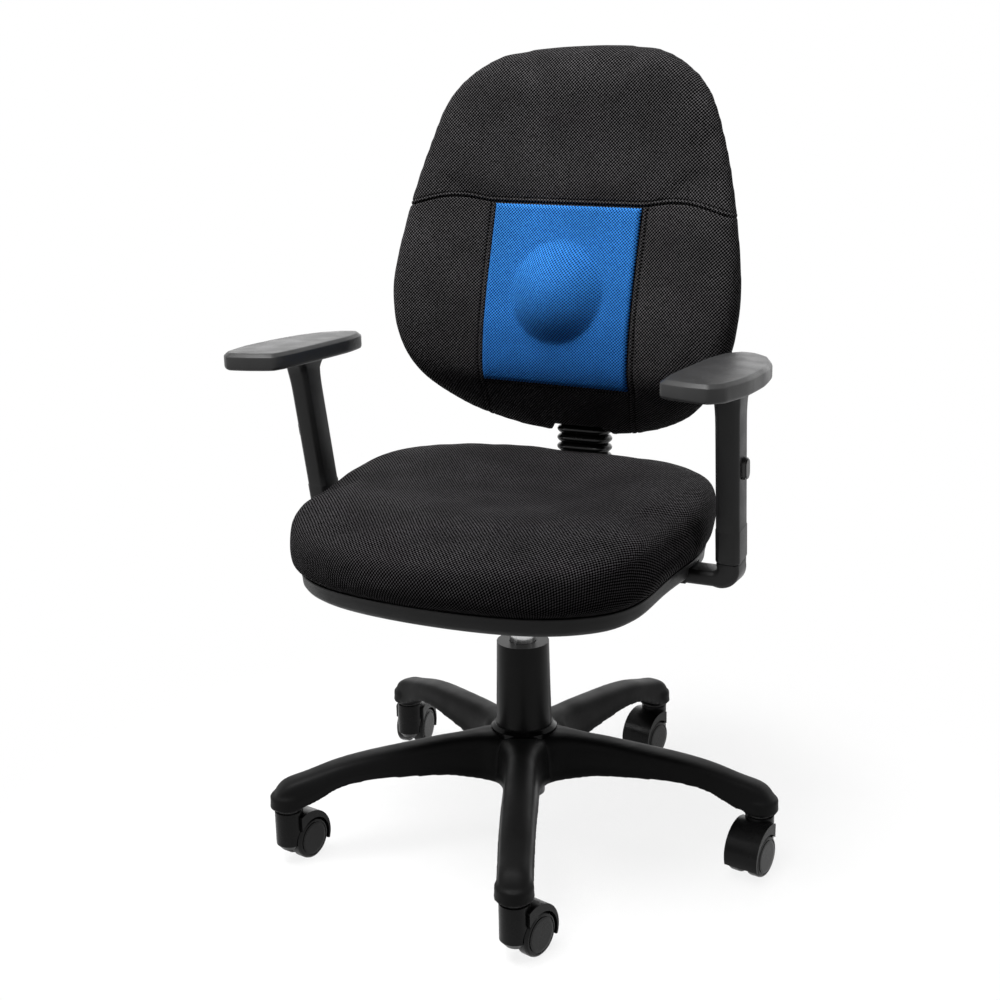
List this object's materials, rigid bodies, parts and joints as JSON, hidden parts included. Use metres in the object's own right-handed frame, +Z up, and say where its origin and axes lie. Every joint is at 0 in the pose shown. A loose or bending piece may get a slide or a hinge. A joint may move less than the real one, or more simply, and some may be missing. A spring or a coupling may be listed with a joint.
{
  "type": "office chair",
  "caption": "Mesh-covered swivel office chair on a star base with twin-wheel castors, a reclining back with a blue lumbar panel and height-adjustable T armrests.",
  "frame": {"origin": "on the floor, on the axis of the column", "axes": "+Z up, the chair faces -Y, +X to the sitter's left"},
  "size_m": [0.6271, 0.6014, 0.95],
  "materials": {
    "base_plastic": "satin charcoal, fine moulded grain",
    "dark_plastic": "smooth",
    "zinc_steel": "zinc plated",
    "black_steel": "black powder coat",
    "chrome": "polished",
    "castor_plastic": "satin charcoal",
    "wheel_plastic": "semi-gloss charcoal",
    "lever_plastic": "satin black",
    "shell_plastic": "satin charcoal, fine moulded grain",
    "pad_plastic": "satin dark grey, fine grain",
    "plywood": "bare",
    "black_mesh": "spacer mesh over foam",
    "blue_mesh": "spacer mesh",
    "foam": "foam",
    "rubber": "satin"
  },
  "bodies": {
    "base": {"star_base": "base_plastic", "socket_sleeves": "dark_plastic", "castor_stems": "zinc_steel", "column_tube": "black_steel", "column_cover": "base_plastic", "guide_bush": "dark_plastic", "column_bearing": "zinc_steel", "column_clip": "zinc_steel"},
    "castor_1": {"castor_hood_1": "castor_plastic", "castor_axle_1": "zinc_steel"},
    "wheel_left_1": {"wheel_left_1": "wheel_plastic"},
    "wheel_right_1": {"wheel_right_1": "wheel_plastic"},
    "castor_2": {"castor_hood_2": "castor_plastic", "castor_axle_2": "zinc_steel"},
    "wheel_left_2": {"wheel_left_2": "wheel_plastic"},
    "wheel_right_2": {"wheel_right_2": "wheel_plastic"},
    "castor_3": {"castor_hood_3": "castor_plastic", "castor_axle_3": "zinc_steel"},
    "wheel_left_3": {"wheel_left_3": "wheel_plastic"},
    "wheel_right_3": {"wheel_right_3": "wheel_plastic"},
    "castor_4": {"castor_hood_4": "castor_plastic", "castor_axle_4": "zinc_steel"},
    "wheel_left_4": {"wheel_left_4": "wheel_plastic"},
    "wheel_right_4": {"wheel_right_4": "wheel_plastic"},
    "castor_5": {"castor_hood_5": "castor_plastic", "castor_axle_5": "zinc_steel"},
    "wheel_left_5": {"wheel_left_5": "wheel_plastic"},
    "wheel_right_5": {"wheel_right_5": "wheel_plastic"},
    "spindle": {"piston_rod": "zinc_steel"},
    "seat": {"gas_cylinder": "chrome", "tilt_housing": "black_steel", "recline_pin": "zinc_steel", "seat_bolts": "zinc_steel", "seat_board": "plywood", "seat_cover": "shell_plastic", "seat_cushion": "black_mesh", "arm_bracket_left": "black_steel", "arm_bracket_right": "black_steel", "arm_bolts": "zinc_steel"},
    "valve": {"valve_pin": "zinc_steel"},
    "height_lever": {"height_lever": "lever_plastic"},
    "angle_lever": {"angle_lever": "lever_plastic"},
    "recline_bar": {"back_bar": "black_steel", "bellows": "rubber"},
    "back": {"back_block": "dark_plastic", "back_board": "plywood", "back_cover": "shell_plastic", "back_screws": "black_steel", "back_cushion": "black_mesh", "lumbar_panel": "blue_mesh", "lumbar_ball": "foam"},
    "arm_left": {"arm_sleeve_left": "shell_plastic", "arm_pad_left": "pad_plastic"},
    "arm_button_left": {"arm_button_left": "lever_plastic"},
    "arm_right": {"arm_sleeve_right": "shell_plastic", "arm_pad_right": "pad_plastic"},
    "arm_button_right": {"arm_button_right": "lever_plastic"}
  },
  "joints": [
    {"name": "castor_swivel_1", "type": "hinge", "parent": "base", "child": "castor_1", "pos_m": [0.11999, -0.2695, 0.068], "axis": [0, 0, 1], "continuous": true},
    {"name": "wheel_left_spin_1", "type": "hinge", "parent": "castor_1", "child": "wheel_left_1", "pos_m": [0.12449, -0.25001, 0.025], "axis": [-0.9744, 0.225, 0], "continuous": true},
    {"name": "wheel_right_spin_1", "type": "hinge", "parent": "castor_1", "child": "wheel_right_1", "pos_m": [0.12449, -0.25001, 0.025], "axis": [-0.9744, 0.225, 0], "continuous": true},
    {"name": "castor_swivel_2", "type": "hinge", "parent": "base", "child": "castor_2", "pos_m": [0.29338, 0.03084, 0.068], "axis": [0, 0, 1], "continuous": true},
    {"name": "wheel_left_spin_2", "type": "hinge", "parent": "castor_2", "child": "wheel_left_2", "pos_m": [0.29025, 0.01108, 0.025], "axis": [0.9877, -0.1564, 0], "continuous": true},
    {"name": "wheel_right_spin_2", "type": "hinge", "parent": "castor_2", "child": "wheel_right_2", "pos_m": [0.29025, 0.01108, 0.025], "axis": [0.9877, -0.1564, 0], "continuous": true},
    {"name": "castor_swivel_3", "type": "hinge", "parent": "base", "child": "castor_3", "pos_m": [0.06133, 0.28855, 0.068], "axis": [0, 0, 1], "continuous": true},
    {"name": "wheel_left_spin_3", "type": "hinge", "parent": "castor_3", "child": "wheel_left_3", "pos_m": [0.05752, 0.26892, 0.025], "axis": [0.9816, -0.1908, 0], "continuous": true},
    {"name": "wheel_right_spin_3", "type": "hinge", "parent": "castor_3", "child": "wheel_right_3", "pos_m": [0.05752, 0.26892, 0.025], "axis": [0.9816, -0.1908, 0], "continuous": true},
    {"name": "castor_swivel_4", "type": "hinge", "parent": "base", "child": "castor_4", "pos_m": [-0.25548, 0.1475, 0.068], "axis": [0, 0, 1], "continuous": true},
    {"name": "wheel_left_spin_4", "type": "hinge", "parent": "castor_4", "child": "wheel_left_4", "pos_m": [-0.25826, 0.16731, 0.025], "axis": [-0.9903, -0.1392, 0], "continuous": true},
    {"name": "wheel_right_spin_4", "type": "hinge", "parent": "castor_4", "child": "wheel_right_4", "pos_m": [-0.25826, 0.16731, 0.025], "axis": [-0.9903, -0.1392, 0], "continuous": true},
    {"name": "castor_swivel_5", "type": "hinge", "parent": "base", "child": "castor_5", "pos_m": [-0.21923, -0.19739, 0.068], "axis": [0, 0, 1], "continuous": true},
    {"name": "wheel_left_spin_5", "type": "hinge", "parent": "castor_5", "child": "wheel_left_5", "pos_m": [-0.21644, -0.17759, 0.025], "axis": [-0.9903, 0.1392, 0], "continuous": true},
    {"name": "wheel_right_spin_5", "type": "hinge", "parent": "castor_5", "child": "wheel_right_5", "pos_m": [-0.21644, -0.17759, 0.025], "axis": [-0.9903, 0.1392, 0], "continuous": true},
    {"name": "seat_swivel", "type": "hinge", "parent": "base", "child": "spindle", "pos_m": [0, 0, 0.06], "axis": [0, 0, 1], "continuous": true},
    {"name": "seat_height", "type": "slide", "parent": "spindle", "child": "seat", "axis": [0, 0, 1], "range_m": [-0.04, 0.075]},
    {"name": "valve_press", "type": "slide", "parent": "seat", "child": "valve", "axis": [0, 0, 1], "range_m": [-0.0035, 0]},
    {"name": "height_lever_lift", "type": "hinge", "parent": "seat", "child": "height_lever", "pos_m": [-0.036, 0, 0.3503], "axis": [0, 1, 0], "range_deg": [0, 4], "stiffness_Nm_per_rad": 8, "springref_deg": -4.01},
    {"name": "angle_lever_lift", "type": "hinge", "parent": "seat", "child": "angle_lever", "pos_m": [-0.036, 0.048, 0.3503], "axis": [0, 1, 0], "range_deg": [0, 6]},
    {"name": "recline", "type": "hinge", "parent": "seat", "child": "recline_bar", "pos_m": [0, 0.078, 0.334], "axis": [-1, 0, 0], "range_deg": [-2, 14]},
    {"name": "back_height", "type": "slide", "parent": "recline_bar", "child": "back", "axis": [0, 0.0523, 0.9986], "range_m": [0, 0.06], "deforming": ["bellows"]},
    {"name": "arm_height_left", "type": "slide", "parent": "seat", "child": "arm_left", "axis": [0.0259, -0.1564, 0.9873], "range_m": [0, 0.07]},
    {"name": "arm_button_press_left", "type": "slide", "parent": "arm_left", "child": "arm_button_left", "axis": [0.9997, 0, -0.0262], "range_m": [-0.003, 0], "stiffness_N_per_m": 800},
    {"name": "arm_height_right", "type": "slide", "parent": "seat", "child": "arm_right", "axis": [-0.0259, -0.1564, 0.9873], "range_m": [0, 0.07]},
    {"name": "arm_button_press_right", "type": "slide", "parent": "arm_right", "child": "arm_button_right", "axis": [-0.9997, 0, -0.0262], "range_m": [-0.003, 0], "stiffness_N_per_m": 800}
  ],
  "couplings": [
    {"joint": "valve_press", "follows": "height_lever_lift", "m_per_rad": -0.036}
  ]
}
